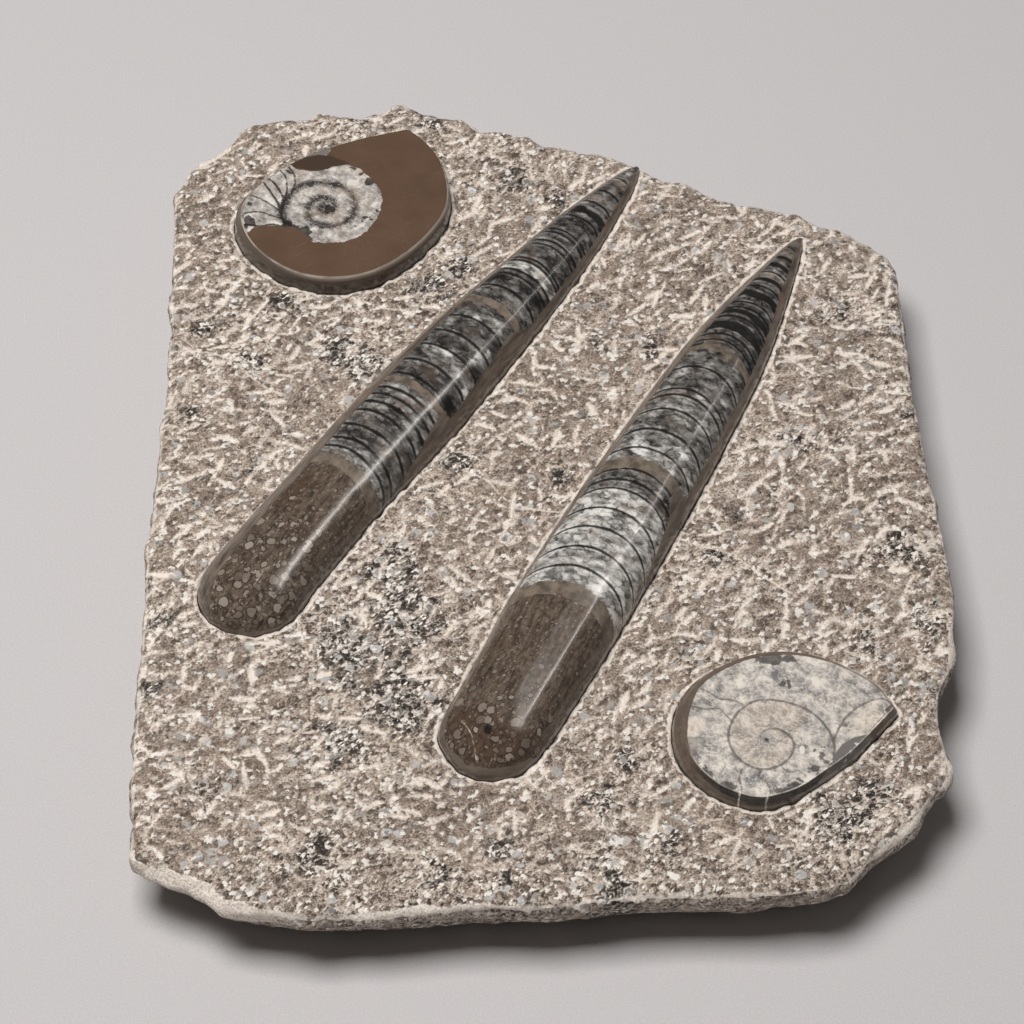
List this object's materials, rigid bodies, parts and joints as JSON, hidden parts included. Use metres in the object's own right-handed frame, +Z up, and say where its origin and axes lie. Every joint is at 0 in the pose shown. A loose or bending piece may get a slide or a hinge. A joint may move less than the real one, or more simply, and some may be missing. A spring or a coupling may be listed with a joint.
{
  "type": "polished fossil plate with ammonites and orthocones",
  "caption": "Flat irregular slab of shelly limestone, roughly chiselled on top, with coiled ammonites and long straight orthocones standing out of it, cut and polished.",
  "frame": {"origin": "on the underside, below the middle of the slab's bounding box", "axes": "+Z up out of the fossil face, +Y along the slab's long side towards the back of the picture, +X to the right of the picture"},
  "size_m": [0.296, 0.3867, 0.0464],
  "materials": {
    "shell_limestone": "brown-grey limestone full of broken shell, chiselled rough",
    "polished_orthocone": "dark brown, grey and black calcite, polished",
    "polished_brown": "chocolate brown stone with white calcite, polished",
    "polished_grey": "cream and grey calcite with dark patches, polished"
  },
  "bodies": {
    "root": {"stone_slab": "shell_limestone", "orthocone_right": "polished_orthocone", "orthocone_left": "polished_orthocone", "ammonite_brown": "polished_brown", "ammonite_grey": "polished_grey"}
  },
  "joints": []
}
